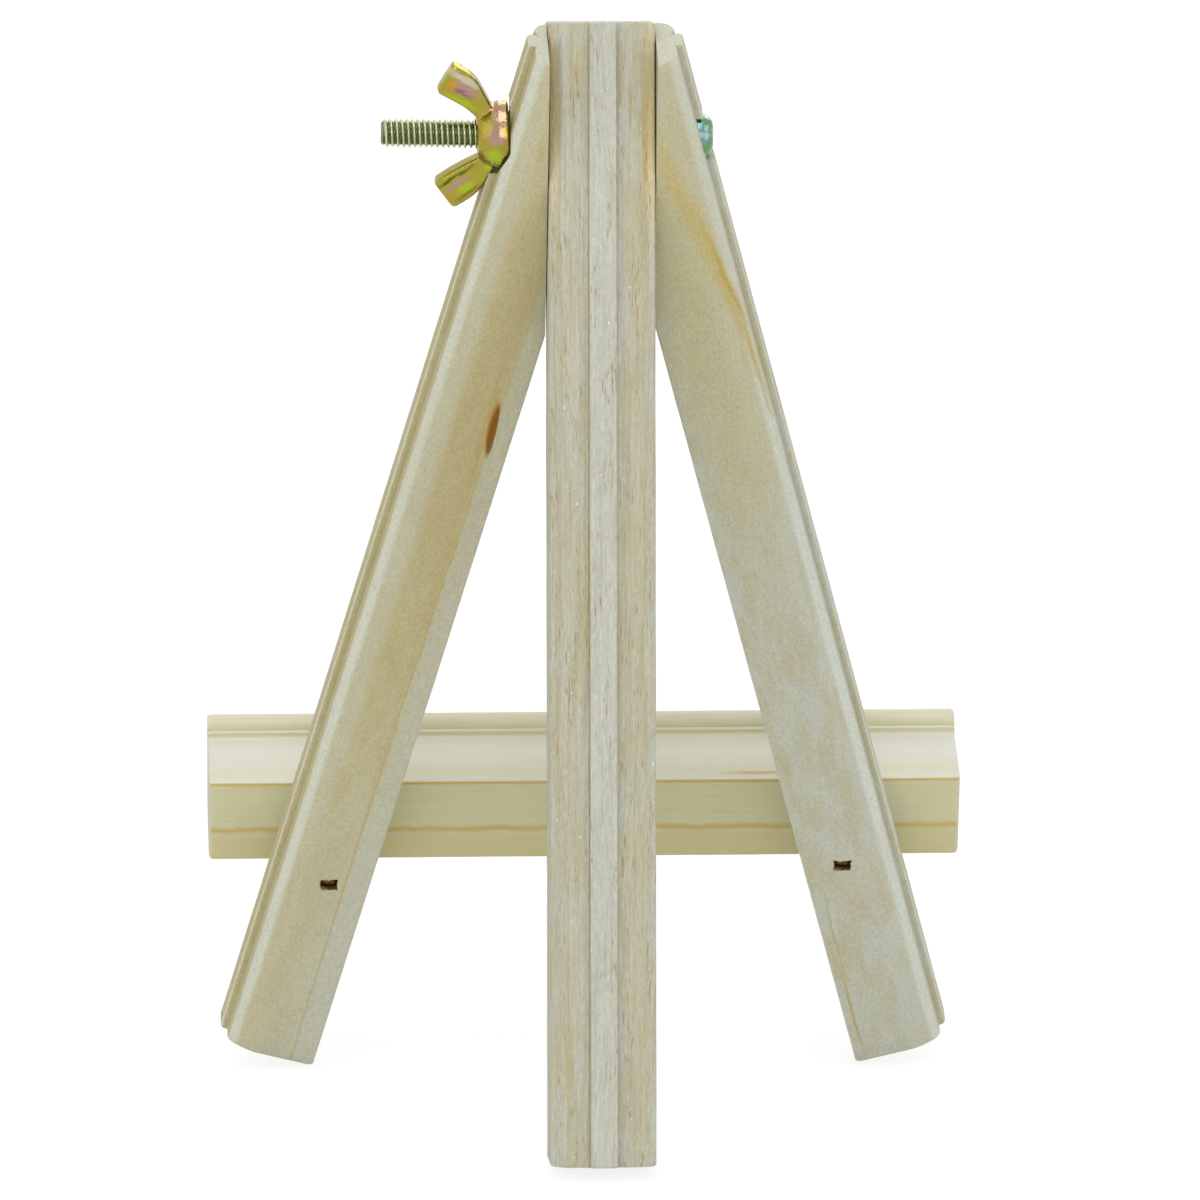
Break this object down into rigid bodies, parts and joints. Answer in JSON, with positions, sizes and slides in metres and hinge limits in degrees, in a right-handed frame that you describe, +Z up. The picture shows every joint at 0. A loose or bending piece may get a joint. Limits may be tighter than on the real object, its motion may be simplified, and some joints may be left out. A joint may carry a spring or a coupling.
{
  "type": "tabletop display easel",
  "caption": "Small wooden table easel: splayed front legs, a lipped ledge across them, and a back leg that folds between them on a screw with a wing nut.",
  "frame": {"origin": "on the surface that the feet stand on, under the middle of the easel's box", "axes": "+Z up, -Y towards the front where a picture stands, +X towards the wing nut"},
  "size_m": [0.111, 0.0886, 0.1634],
  "materials": {
    "leg_wood": "bare, sanded",
    "back_leg_wood": "bare, sanded",
    "ledge_wood": "bare, planed",
    "blue_zinc": "bright zinc plate",
    "yellow_zinc": "yellow passivated zinc plate",
    "brad_steel": "dull steel"
  },
  "bodies": {
    "front_frame": {"left_front_leg": "leg_wood", "right_front_leg": "leg_wood", "ledge": "ledge_wood", "left_brad": "brad_steel", "right_brad": "brad_steel"},
    "back_leg": {"back_leg": "back_leg_wood"},
    "hinge_screw": {"hinge_screw": "blue_zinc"},
    "wing_nut": {"wing_nut": "yellow_zinc"}
  },
  "joints": [
    {"name": "back_leg_swing", "type": "hinge", "parent": "front_frame", "child": "back_leg", "pos_m": [0, 0.01377, 0.14642], "axis": [1, 0, 0], "range_deg": [-25, 155]},
    {"name": "nut_turn", "type": "hinge", "parent": "front_frame", "child": "wing_nut", "pos_m": [0.0155, 0.01377, 0.14642], "axis": [1, 0, 0], "range_deg": [0, 6120]},
    {"name": "screw_back_out", "type": "slide", "parent": "front_frame", "child": "hinge_screw", "axis": [-1, 0, 0], "range_m": [0, 0.0135]}
  ],
  "couplings": [
    {"joint": "screw_back_out", "follows": "nut_turn", "m_per_rad": 0.00012637}
  ]
}
